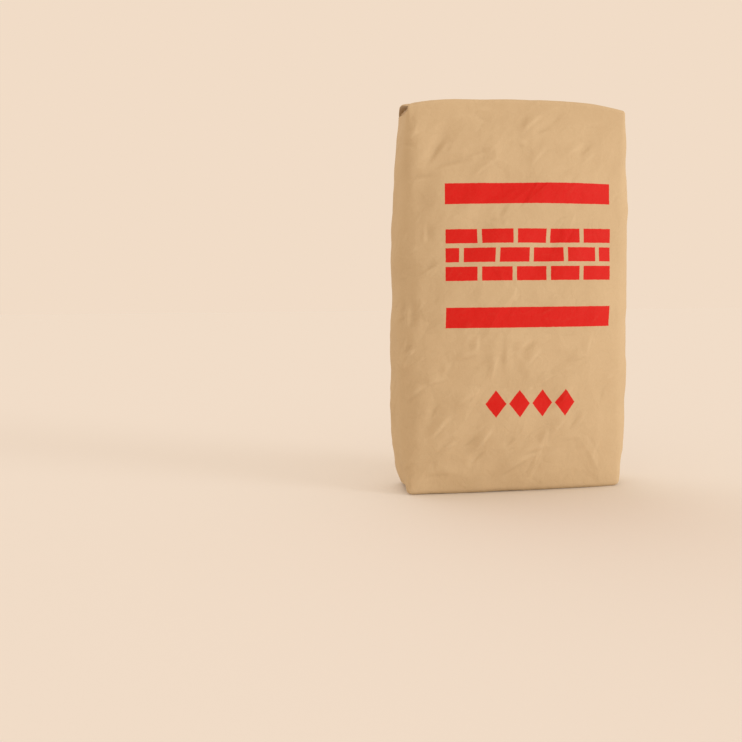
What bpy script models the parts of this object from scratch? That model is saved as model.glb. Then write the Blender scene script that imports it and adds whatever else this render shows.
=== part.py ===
"""A filled 40 kg cement sack that stands on its pasted bottom.

Three pieces: the kraft paper sack with its valve slit in the top left corner, the flat paper
sleeve pasted into that slit, and the cement that fills the sack.

Metres, +Z up. The printed front faces -Y, and the origin is the middle of the flat bottom.
"""

import math

import bmesh
import bpy
from mathutils import Matrix, Vector

# The sack at its creased ends, before it bulges
SACK_WIDTH = 0.358
SACK_HEIGHT = 0.607
END_DEPTH = 0.104

# How far the fill pushes each panel out, and how much its upright edges round off
FRONT_CROWN = 0.035
END_CROWN = 0.006
SIDE_BULGE = 0.020
TOP_DOME = 0.021
EDGE_SOFTEN = 0.007

# How each of those is spread: the belly's place below the middle, then the powers of the
# curves and the share that a bulge loses towards the rim of its panel
BELLY_DROP = 0.12
BELLY_POWER = 4
ARCH_POWER = 2.6
DOME_POWER = 3
SOFTEN_POWER = 8
SIDE_EASE = 0.5
DOME_EASE = 0.3

# Paper and running room
PAPER_WALL = 0.0005
GAP = 0.0003

# The valve: a flat sleeve through a slit at the top left rim
SLEEVE_WIDTH = 0.088
SLEEVE_THICKNESS = 0.0034
SLEEVE_WALL = 0.0003
SLEEVE_LENGTH = 0.112
SLEEVE_SLOPE = math.radians(32)
SLEEVE_PROUD = 0.0012
SLEEVE_RIM_INSET = 0.0022
SLIT_OVERRUN = 0.02
SLEEVE_SIDES = 16

# Places of the cage's loops, as shares of the half width, half depth and half height
WIDTH_LOOPS = (-0.92, -0.7, -0.35, 0.0, 0.35, 0.7, 0.92)
DEPTH_LOOPS = (-0.82, -0.3, 0.3, 0.82)
HEIGHT_LOOPS = (-0.965, -0.8, -0.5, -0.17, 0.17, 0.5, 0.8, 0.965)
RIM_CREASE = 0.55
CORNER_CREASE = 0.3


def clear_scene():
    """Removes every object and mesh of the open file."""
    for obj in list(bpy.data.objects):
        bpy.data.objects.remove(obj, do_unlink=True)


def new_collection(name, hidden=False):
    """A collection in the scene; the cutters' one isn't rendered."""
    made = bpy.data.collections.new(name)
    made.hide_render = hidden
    bpy.context.scene.collection.children.link(made)
    return made


def new_material(name, colour, roughness):
    """A matte Principled material."""
    material = bpy.data.materials.new(name)
    material.use_nodes = True
    shader = material.node_tree.nodes["Principled BSDF"]
    shader.inputs["Base Color"].default_value = (*colour, 1.0)
    shader.inputs["Roughness"].default_value = roughness
    shader.inputs["Metallic"].default_value = 0.0
    material.diffuse_color = (*colour, 1.0)
    return material


def new_object(name, bm, collection, material=None):
    """Turns a bmesh into a named object of a collection."""
    mesh = bpy.data.meshes.new(name)
    bm.to_mesh(mesh)
    bm.free()
    if material:
        mesh.materials.append(material)
    obj = bpy.data.objects.new(name, mesh)
    collection.objects.link(obj)
    return obj


def bulged(corner):
    """Where the fill pushes a point of the flat-sided box: crowned faces, full sides, domed top."""
    half = Vector((SACK_WIDTH / 2, END_DEPTH / 2, SACK_HEIGHT / 2))
    across = corner.x / half.x
    through = corner.y / half.y
    up = (corner.z - half.z) / half.z

    # The belly hangs a little below the middle
    belly = up + BELLY_DROP * (1 - up**2)
    fullness = 1 - abs(belly) ** BELLY_POWER
    arch = 1 - abs(across) ** ARCH_POWER

    crown = END_CROWN * arch + (FRONT_CROWN - END_CROWN) * arch * fullness
    bulge = SIDE_BULGE * fullness * (1 - SIDE_EASE * through**2)
    dome = TOP_DOME * max(0.0, up) ** DOME_POWER * (1 - across**2)
    dome *= 1 - DOME_EASE * through**2

    # The upright edges are rounder at the belly than at the pasted ends
    soften = EDGE_SOFTEN * fullness * abs(across * through) ** SOFTEN_POWER
    return Vector(
        (
            across * (half.x + bulge - soften),
            through * (half.y + crown - soften),
            corner.z + dome,
        )
    )


def loop_cut(bm, axis, place):
    """Cuts the whole mesh along a plane square to one axis."""
    normal = Vector((0, 0, 0))
    normal[axis] = 1
    everything = bm.verts[:] + bm.edges[:] + bm.faces[:]
    bmesh.ops.bisect_plane(bm, geom=everything, plane_co=normal * place, plane_no=normal)


def crease_edges(bm):
    """Creases the rims of both ends, and less so the four upright edges."""
    creases = bm.edges.layers.float.new("crease_edge")
    half = (SACK_WIDTH / 2, END_DEPTH / 2)
    for edge in bm.edges:
        first, second = (vert.co for vert in edge.verts)
        on_side = [
            abs(abs(first[i]) - half[i]) < GAP and abs(abs(second[i]) - half[i]) < GAP
            for i in range(2)
        ]
        level = abs(first.z - second.z) < GAP
        at_end = level and (first.z < GAP or first.z > SACK_HEIGHT - GAP)
        if at_end and any(on_side):
            edge[creases] = RIM_CREASE
        elif all(on_side):
            edge[creases] = CORNER_CREASE


def sack_skin(collection):
    """The sack's outer surface as one closed smooth mesh."""
    bm = bmesh.new()
    bmesh.ops.create_cube(bm, size=1)
    bmesh.ops.scale(bm, vec=(SACK_WIDTH, END_DEPTH, SACK_HEIGHT), verts=bm.verts)
    bmesh.ops.translate(bm, vec=(0, 0, SACK_HEIGHT / 2), verts=bm.verts)
    for share in WIDTH_LOOPS:
        loop_cut(bm, 0, share * SACK_WIDTH / 2)
    for share in DEPTH_LOOPS:
        loop_cut(bm, 1, share * END_DEPTH / 2)
    for share in HEIGHT_LOOPS:
        loop_cut(bm, 2, (1 + share) * SACK_HEIGHT / 2)
    crease_edges(bm)
    for vert in bm.verts:
        vert.co = bulged(vert.co)
    cage = new_object("sack_cage", bm, collection)
    smooth = cage.modifiers.new("smooth", "SUBSURF")
    smooth.levels = smooth.render_levels = 1
    graph = bpy.context.evaluated_depsgraph_get()
    skin = bpy.data.meshes.new_from_object(cage.evaluated_get(graph))
    bpy.data.objects.remove(cage)
    return skin


def inset_copy(skin, depth):
    """A bmesh of the skin moved inwards by the same depth on every face."""
    bm = bmesh.new()
    bm.from_mesh(skin)
    bm.normal_update()
    moved = [vert.co - vert.normal * vert.calc_shell_factor() * depth for vert in bm.verts]
    for vert, place in zip(bm.verts, moved):
        vert.co = place
    return bm


def flat_tube(width, thickness, start, end):
    """An open tube along +Z with a flat section: two straight sides and half-round ends."""
    bm = bmesh.new()
    half_step = Matrix.Rotation(math.pi / SLEEVE_SIDES, 4, "Z")
    bmesh.ops.create_circle(bm, segments=SLEEVE_SIDES, radius=thickness / 2, matrix=half_step)
    for vert in bm.verts:
        vert.co.y += math.copysign((width - thickness) / 2, vert.co.y)
        vert.co.z = start
    made = bmesh.ops.extrude_edge_only(bm, edges=bm.edges[:])["geom"]
    far_ring = [part for part in made if isinstance(part, bmesh.types.BMVert)]
    bmesh.ops.translate(bm, vec=(0, 0, end - start), verts=far_ring)
    bmesh.ops.recalc_face_normals(bm, faces=bm.faces)
    return bm


def valve_place():
    """The sleeve's own frame: its +Z runs from the top left rim down into the sack."""
    mouth = Vector((SLEEVE_RIM_INSET - SACK_WIDTH / 2, 0, SACK_HEIGHT - SLEEVE_RIM_INSET))
    turn = Matrix.Rotation(math.pi / 2 + SLEEVE_SLOPE, 4, "Y")
    return Matrix.Translation(mouth) @ turn


def slit_cutter(collection):
    """The solid that clears the slit in the paper and the sleeve's bed in the cement."""
    clearance = 2 * GAP
    bm = flat_tube(
        SLEEVE_WIDTH + clearance,
        SLEEVE_THICKNESS + clearance,
        -SLIT_OVERRUN,
        SLEEVE_LENGTH + GAP,
    )
    bmesh.ops.holes_fill(bm, edges=bm.edges[:])
    bmesh.ops.recalc_face_normals(bm, faces=bm.faces)
    cutter = new_object("slit_cutter", bm, collection)
    cutter.matrix_world = valve_place()
    cutter.hide_render = True
    cutter.display_type = "WIRE"
    return cutter


def cut_with(obj, cutter):
    """Subtracts the cutter from an object."""
    cut = obj.modifiers.new("valve_slit", "BOOLEAN")
    cut.operation = "DIFFERENCE"
    cut.solver = "EXACT"
    cut.object = cutter


def paper_sack(skin, cutter, collection, material):
    """The paper wall, open only at the valve slit."""
    bm = bmesh.new()
    bm.from_mesh(skin)
    sack = new_object("paper_sack", bm, collection, material)
    wall = sack.modifiers.new("paper_wall", "SOLIDIFY")
    wall.thickness = PAPER_WALL
    wall.offset = -1
    wall.use_even_offset = True
    cut_with(sack, cutter)
    return sack


def cement_fill(skin, cutter, collection, material):
    """The cement, which presses on the paper from inside, with the bed of the sleeve."""
    fill = new_object("cement_fill", inset_copy(skin, PAPER_WALL + GAP), collection, material)
    cut_with(fill, cutter)
    return fill


def valve_sleeve(collection, material):
    """The flat paper sleeve that the sack was filled through."""
    bm = flat_tube(SLEEVE_WIDTH, SLEEVE_THICKNESS, -SLEEVE_PROUD, SLEEVE_LENGTH)
    sleeve = new_object("valve_sleeve", bm, collection, material)
    sleeve.matrix_world = valve_place()
    wall = sleeve.modifiers.new("sleeve_wall", "SOLIDIFY")
    wall.thickness = SLEEVE_WALL
    wall.offset = -1
    return sleeve


def main():
    """Builds the sack, its sleeve and its fill."""
    clear_scene()
    parts = new_collection("cement_bag")
    helpers = new_collection("cutters", hidden=True)

    kraft = new_material("kraft_paper", (0.64, 0.42, 0.22), 0.8)
    inner_kraft = new_material("sleeve_paper", (0.45, 0.29, 0.15), 0.85)
    cement = new_material("cement_powder", (0.36, 0.36, 0.34), 0.95)

    skin = sack_skin(helpers)
    cutter = slit_cutter(helpers)
    paper_sack(skin, cutter, parts, kraft)
    cement_fill(skin, cutter, parts, cement)
    valve_sleeve(parts, inner_kraft)


main()
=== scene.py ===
"""Looks of a filled cement sack that stands on its pasted bottom.

The crumpled kraft paper body with its folded ends and glued back seam, the valve sleeve in its
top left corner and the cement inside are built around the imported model, and set on a plain pale
floor.

Metres, +Z up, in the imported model's frame: the printed front faces -Y, and the valve is at the
left end of the top.
"""

import logging
import math
import random
from dataclasses import dataclass
from enum import Enum

import bmesh
import bpy
import numpy as np
from mathutils import Matrix, Vector


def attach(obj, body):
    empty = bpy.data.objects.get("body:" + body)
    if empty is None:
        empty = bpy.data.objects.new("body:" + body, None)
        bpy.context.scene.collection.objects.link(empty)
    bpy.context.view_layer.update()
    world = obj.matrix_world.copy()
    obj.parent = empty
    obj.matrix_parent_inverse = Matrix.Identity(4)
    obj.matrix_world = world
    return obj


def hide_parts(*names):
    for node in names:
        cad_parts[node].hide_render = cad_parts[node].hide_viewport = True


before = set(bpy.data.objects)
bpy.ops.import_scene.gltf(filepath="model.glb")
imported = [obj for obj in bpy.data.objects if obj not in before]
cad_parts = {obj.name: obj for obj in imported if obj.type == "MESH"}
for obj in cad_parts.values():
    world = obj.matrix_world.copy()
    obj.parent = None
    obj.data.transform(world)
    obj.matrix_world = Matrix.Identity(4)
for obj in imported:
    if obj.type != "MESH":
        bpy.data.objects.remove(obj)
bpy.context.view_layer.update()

log = logging.getLogger("cement_sack")

Colour = tuple[float, float, float]
Socket = bpy.types.NodeSocket

BODY = "root"
MM = 0.001
# How fine the fibres of both papers are
FIBRE_SCALE = 850.0


class Axis(Enum):
    """The three axes of the frame."""

    X = 0
    Y = 1
    Z = 2


class Panel(Enum):
    """The four upright panels, by the way they face."""

    FRONT = (0, -1)
    BACK = (0, 1)
    LEFT = (-1, 0)
    RIGHT = (1, 0)


def eased(share: np.ndarray | float) -> np.ndarray:
    """A smooth step: 0 up to a share of 0, 1 from a share of 1 on."""
    share = np.clip(share, 0, 1)
    return share**2 * (3 - 2 * share)


@dataclass(frozen=True)
class SackForm:
    """The smooth form of the filled sack: a creased box that the cement pushes out.

    Attributes:
        width: The width of the creased ends.
        depth: Their depth.
        height: The height between them.
        front_crown: How far the fill pushes the front and the back out at the belly.
        end_crown: How far it does at the ends.
        side_bulge: How far it pushes the sides out.
        top_dome: How far it lifts the top.
        belly_drop: How far the belly hangs below the middle, as a share of half the height.
        belly_power: How evenly full the sack is between its ends.
        arch_power: How flat the front is across its middle.
        dome_power: How far up the dome begins.
        dome_spread: How wide the flat middle of the dome is.
        dome_fall: How much of the dome is gone at its left and right ends.
        side_ease: How much of the bulge is gone at the upright edges.
        dome_ease: How much of the dome is gone at its front and back rims.
        end_edge_radius: The radius of the upright edges at the top.
        foot_edge_radius: Their radius at the floor.
        foot_reach: How high up that radius fades.
        belly_edge_radius: Their radius at the belly.
        top_rim_radius: The radius of the top's rim.
        bottom_rim_radius: The radius of the bottom's rim, at most that of the edges there.
        slack_inwards: How far inwards the slack edge behind the valve lies.
        slack_reach: How far across the sack that edge draws the paper along.
        slack_foot: The height at which it begins to lie inwards.
        slack_full: The height from which it lies inwards all the way.
    """

    width: float = 0.358
    depth: float = 0.104
    height: float = 0.607
    front_crown: float = 0.035
    end_crown: float = 0.006
    side_bulge: float = 0.0188
    top_dome: float = 0.0190
    belly_drop: float = 0.12
    belly_power: float = 4.0
    arch_power: float = 2.6
    dome_power: float = 3.0
    dome_spread: float = 3.5
    dome_fall: float = 0.85
    side_ease: float = 0.5
    dome_ease: float = 0.3
    end_edge_radius: float = 0.004
    foot_edge_radius: float = 0.0092
    foot_reach: float = 0.03
    belly_edge_radius: float = 0.022
    top_rim_radius: float = 0.003
    bottom_rim_radius: float = 0.0090
    slack_inwards: float = 0.0065
    slack_reach: float = 0.05
    slack_foot: float = 0.05
    slack_full: float = 0.40

    def fullness(self, z: np.ndarray) -> np.ndarray:
        """How full the sack is at a height, from 0 at its ends to 1 at its belly.

        Args:
            z: Heights above the floor.

        Returns:
            The share for each height.
        """
        up = 2 * z / self.height - 1
        belly = up + self.belly_drop * (1 - up**2)
        return np.clip(1 - np.abs(belly) ** self.belly_power, 0, 1)

    def to_end(self, z: np.ndarray) -> np.ndarray:
        """How far each height is from the nearer end."""
        return np.minimum(z, self.height - z)

    def slack(self, x: np.ndarray, y: np.ndarray, z: np.ndarray) -> np.ndarray:
        """How far the slack edge draws the panels inwards.

        Args:
            x: Places across the creased box.
            y: Places along its depth.
            z: Heights.

        Returns:
            The shift of each along X.
        """
        beside = eased(1 - (x + self.width / 2) / self.slack_reach)
        behind = np.clip(0.5 + y / self.depth, 0, 1)
        upward = eased((z - self.slack_foot) / (self.slack_full - self.slack_foot))
        return self.slack_inwards * beside * behind * upward

    def round_off(self, points: np.ndarray) -> np.ndarray:
        """Rounds the upright edges and the rims of the box.

        Args:
            points: Places on the surface of the creased box, one row each.

        Returns:
            The same places on the rounded box.
        """
        half = np.array([self.width, self.depth]) / 2
        wider = self.belly_edge_radius - self.end_edge_radius
        radius = self.end_edge_radius + wider * self.fullness(points[:, 2])
        foot = 1 - eased(points[:, 2] / self.foot_reach)
        radius += (self.foot_edge_radius - self.end_edge_radius) * foot
        core = half - radius[:, None]
        flat = np.abs(points[:, :2])
        past = np.maximum(flat - core, 0)
        length = np.maximum(np.linalg.norm(past, axis=1), MM**2)
        flat = np.minimum(flat, core) + past * (past.max(axis=1) / length)[:, None]

        beyond = flat - core
        corner = np.maximum(beyond, 0)
        reach = np.linalg.norm(corner, axis=1)
        inside = reach + np.minimum(beyond.max(axis=1), 0) - radius
        straight = np.where((beyond[:, 0] > beyond[:, 1])[:, None], [1.0, 0.0], [0.0, 1.0])
        turned = corner / np.maximum(reach, MM**2)[:, None]
        outward = np.where((beyond.min(axis=1) > 0)[:, None], turned, straight)
        low = points[:, 2] < self.height / 2
        rim = np.where(low, self.bottom_rim_radius, self.top_rim_radius)
        across = np.clip(inside + rim, 0, None)
        upward = np.clip(rim - self.to_end(points[:, 2]), 0, None)
        in_rim = (across > 0) & (upward > 0)
        shrink = rim / np.maximum(np.hypot(across, upward), MM**2)
        shrink = np.where(in_rim, shrink, 1.0)
        flat = flat + outward * (across * (shrink - 1))[:, None]
        lowered = upward * (1 - shrink) * np.sign(points[:, 2] - self.height / 2)
        return np.column_stack([flat * np.sign(points[:, :2]), points[:, 2] - lowered])

    def dome(self, x: np.ndarray, y: np.ndarray, z: np.ndarray) -> np.ndarray:
        """How far the fill lifts the top end.

        Args:
            x: Places across the creased box.
            y: Places along its depth.
            z: Heights.

        Returns:
            The lift of each.
        """
        across = np.clip(np.abs(2 * x / self.width), 0, 1)
        lift = self.top_dome * np.maximum(2 * z / self.height - 1, 0) ** self.dome_power
        lift *= 1 - self.dome_fall * across**self.dome_spread
        return lift * (1 - self.dome_ease * (2 * y / self.depth) ** 2)

    def fill_out(self, points: np.ndarray) -> np.ndarray:
        """Pushes the panels out as the cement does.

        Args:
            points: Places on the creased box, one row each.

        Returns:
            The same places on the filled sack.
        """
        x, y, z = points.T
        across = 2 * x / self.width
        through = 2 * y / self.depth
        full = self.fullness(z)
        arch = 1 - np.clip(np.abs(across), 0, 1) ** self.arch_power
        crown = (self.end_crown + (self.front_crown - self.end_crown) * full) * arch
        bulge = self.side_bulge * full * (1 - self.side_ease * through**2)
        return np.column_stack(
            [
                across * (self.width / 2 + bulge) + self.slack(x, y, z),
                through * (self.depth / 2 + crown),
                z + self.dome(x, y, z),
            ]
        )

    def on_panel(self, panel: Panel, across: float, z: float) -> tuple[np.ndarray, np.ndarray]:
        """A place on one of the smooth upright panels.

        Args:
            panel: Which one.
            across: The place across the creased panel, from its middle.
            z: The height.

        Returns:
            The place, and the way the panel faces there.
        """
        outward = np.array([*panel.value, 0.0])
        sideways = np.array([abs(panel.value[1]), abs(panel.value[0]), 0.0])
        start = outward * (self.width / 2, self.depth / 2, 0) + sideways * across + (0, 0, z)
        spots = np.array([start, start + sideways * MM, start + (0, 0, MM)])
        place, beside, above = self.fill_out(self.round_off(spots))
        normal = np.cross(beside - place, above - place)
        normal *= np.sign(normal @ outward) / np.linalg.norm(normal)
        return place, normal


def mesh_points(mesh: bpy.types.Mesh) -> np.ndarray:
    """The mesh's vertices, one row each.

    Args:
        mesh: Any mesh.

    Returns:
        Their places.
    """
    flat = np.empty(len(mesh.vertices) * 3, np.float32)
    mesh.vertices.foreach_get("co", flat)
    return flat.reshape(-1, 3).astype(float)


def move_points(mesh: bpy.types.Mesh, points: np.ndarray) -> None:
    """Puts the mesh's vertices at these places, one row each."""
    mesh.vertices.foreach_set("co", points.astype(np.float32).ravel())
    mesh.update()


def mesh_normals(mesh: bpy.types.Mesh) -> np.ndarray:
    """The way the surface faces at each vertex.

    Args:
        mesh: Any mesh.

    Returns:
        One unit row each.
    """
    flat = np.empty(len(mesh.vertices) * 3, np.float32)
    mesh.vertex_normals.foreach_get("vector", flat)
    return flat.reshape(-1, 3).astype(float)


def new_piece(name: str, bm: bmesh.types.BMesh, material: bpy.types.Material) -> bpy.types.Object:
    """Makes a bmesh an object of the scene, at the origin.

    Args:
        name: The piece's name.
        bm: Its shape, which is freed.
        material: Its finish.

    Returns:
        The object.
    """
    mesh = bpy.data.meshes.new(name)
    bm.to_mesh(mesh)
    bm.free()
    mesh.materials.append(material)
    piece = bpy.data.objects.new(name, mesh)
    bpy.context.scene.collection.objects.link(piece)
    return piece


def shade(piece: bpy.types.Object, sharp: float) -> None:
    """Shades a piece smooth, but for edges that turn by more degrees than sharp."""
    piece.data.shade_smooth()
    piece.data.set_sharp_from_angle(angle=math.radians(sharp))


def apply_modifiers(piece: bpy.types.Object) -> None:
    """Makes what the modifiers show the piece's own mesh.

    Args:
        piece: The object.
    """
    graph = bpy.context.evaluated_depsgraph_get()
    made = bpy.data.meshes.new_from_object(piece.evaluated_get(graph))
    old = piece.data
    piece.modifiers.clear()
    piece.data = made
    bpy.data.meshes.remove(old)
    made.name = piece.name


def cut_away(piece: bpy.types.Object, solid: bmesh.types.BMesh) -> None:
    """Subtracts a solid from a piece.

    Args:
        piece: The piece, which keeps its material.
        solid: What is taken away, which is freed.
    """
    cutter = new_piece("cutter", solid, piece.data.materials[0])
    cut = piece.modifiers.new("cut", "BOOLEAN")
    cut.operation = "DIFFERENCE"
    cut.solver = "EXACT"
    cut.object = cutter
    bpy.context.view_layer.update()
    apply_modifiers(piece)
    bpy.data.objects.remove(cutter)


def cut_line(bm: bmesh.types.BMesh, faces: list, place: Vector, normal: Vector) -> None:
    """Cuts faces along a line, and makes triangles of them again.

    Args:
        bm: The mesh they are in.
        faces: The faces.
        place: A point on the line.
        normal: The way square to the line.
    """
    parts = {part for face in faces for part in (*face.verts, *face.edges, face)}
    bmesh.ops.bisect_plane(bm, geom=list(parts), plane_co=place, plane_no=normal)
    bmesh.ops.triangulate(bm, faces=[face for face in bm.faces if len(face.verts) > 3])


@dataclass(frozen=True)
class Fold:
    """One straight fold that a knock left in the paper.

    Attributes:
        place: Its middle.
        along: The way it runs.
        normal: The way the paper faces there.
        length: How long it is.
        rise: How far its crest stands out, or lies in where it is negative.
        reach: How far the paper leans on its long side.
        crisp: How sharp its crest is, from 0 for a soft swell to 1 for a crease.
        bow: How far its middle strays sideways, as a share of its length.
        steep: The reach of its short side, as a share of the long one's.
        depth: How far behind or before the fold it still counts.
        flank: How hollow the paper falls away from a sharp crest.
    """

    place: np.ndarray
    along: np.ndarray
    normal: np.ndarray
    length: float
    rise: float
    reach: float
    crisp: float
    bow: float = 0.0
    steep: float = 0.45
    depth: float = 0.02
    flank: float = 1.3

    def lift(self, points: np.ndarray) -> tuple[np.ndarray, np.ndarray]:
        """How far the fold lifts the paper near it.

        Args:
            points: Places on the sack, one row each.

        Returns:
            The rows that the fold reaches, and the lift of each.
        """
        half = self.length / 2
        sideways = np.cross(self.normal, self.along)
        offset = points - self.place
        near = np.flatnonzero(np.abs(offset).max(axis=1) < half + self.reach)
        offset = offset[near]
        share = np.clip(np.abs(offset @ self.along) / half, 0, 1)
        strayed = offset @ sideways - self.bow * self.length * (1 - share**2)
        lean = np.where(strayed > 0, self.reach, self.reach * self.steep)
        away = np.clip(np.abs(strayed) / lean, 0, 1)
        roof = self.crisp * (1 - away) ** self.flank + (1 - self.crisp) * (1 - away**2) ** 2
        through = np.exp(-((offset @ self.normal / self.depth) ** 2))
        return near, self.rise * roof * (1 - share**2) ** 2 * through


@dataclass(frozen=True)
class FoldFamily:
    """A kind of fold that is scattered over the panels.

    Attributes:
        count: How many there are.
        lengths: The shortest and the longest.
        reaches: The narrowest and the widest.
        rises: The lowest and the highest, up or down.
        crisp: How sharp their crests are.
        climb: The mean angle at which they climb to the right, and its spread.
        on_front: How densely they lie on the front, as a share of the other panels' density.
    """

    count: int
    lengths: tuple[float, float]
    reaches: tuple[float, float]
    rises: tuple[float, float]
    crisp: float
    climb: tuple[float, float]
    on_front: float = 1.0


# Folds that are seen on the front, listed one by one: both ends as x and z in mm, then the
# strength, which is negative where the fold lies in
FRONT_FOLDS = (
    (-4, 558, 36, 588, 1.5),
    (36, 588, 63, 599, 0.9),
    (-2, 563, 11, 583, -0.4),
    (18, 556, 47, 569, -0.9),
    (-13, 546, 8, 544, 0.8),
    (68, 527, 98, 544, 1.3),
    (92, 528, 118, 549, -1.3),
    (97, 517, 121, 534, 1.1),
    (102, 574, 139, 581, 0.9),
    (-82, 592, -47, 593, 0.9),
    (-79, 586, -54, 576, -1.0),
    (-177, 556, -158, 567, 1.0),
    (-150, 513, -119, 557, -1.1),
    (-93, 524, -60, 534, -0.9),
    (-146, 510, -85, 521, -1.2),
    (-80, 497, -41, 523, 1.1),
    (13, 516, 41, 542, 0.9),
    (-189, 496, -143, 499, -1.0),
    (-191, 554, -166, 541, -0.9),
    (-193, 392, -182, 416, 0.8),
    (-180, 382, -165, 391, 0.9),
    (-152, 427, -150, 397, -0.8),
    (-157, 355, -137, 367, -0.8),
    (-202, 346, -186, 347, 0.9),
    (-192, 311, -201, 258, -1.0),
    (-183, 311, -191, 255, 1.2),
    (-174, 314, -179, 259, -1.4),
    (-188, 227, -185, 255, 1.0),
    (-187, 223, -175, 241, -1.2),
    (-184, 219, -170, 234, 1.3),
    (-193, 200, -181, 219, 1.0),
    (-187, 152, -156, 178, 1.5),
    (-156, 178, -123, 189, 1.2),
    (-127, 191, -117, 214, 1.1),
    (-108, 219, -75, 228, 1.2),
    (-77, 226, -75, 256, 1.1),
    (-53, 187, -44, 223, 1.0),
    (-36, 193, -33, 254, -0.7),
    (-33, 215, -20, 230, 0.9),
    (-15, 227, 13, 247, 1.1),
    (-7, 223, 19, 243, -1.1),
    (0, 204, 26, 231, 1.2),
    (74, 214, 104, 221, 1.3),
    (104, 221, 116, 257, 1.2),
    (18, 174, 45, 191, 1.2),
    (45, 191, 77, 203, 0.8),
    (141, 179, 159, 188, 1.0),
    (-148, 92, -114, 131, 1.4),
    (-133, 76, -108, 94, -1.1),
    (-131, 71, -108, 86, 1.1),
    (-79, 69, -51, 109, 1.5),
    (-83, 48, -64, 72, -1.0),
    (-47, 26, 14, 63, 1.6),
    (-31, 76, -13, 92, -1.1),
    (-6, 67, 40, 78, 1.1),
    (78, 103, 97, 128, -1.0),
    (85, 102, 108, 127, 1.1),
    (-193, 37, -174, 60, 1.1),
    (-156, 37, -106, 38, 0.7),
    (119, 44, 131, 81, 0.9),
    (38, 73, 38, 109, 0.7),
    (61, 87, 98, 90, 0.7),
    (-111, 143, -75, 168, 0.9),
    (-148, 120, -136, 148, -0.9),
    (132, 144, 143, 173, -0.8),
)


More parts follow.
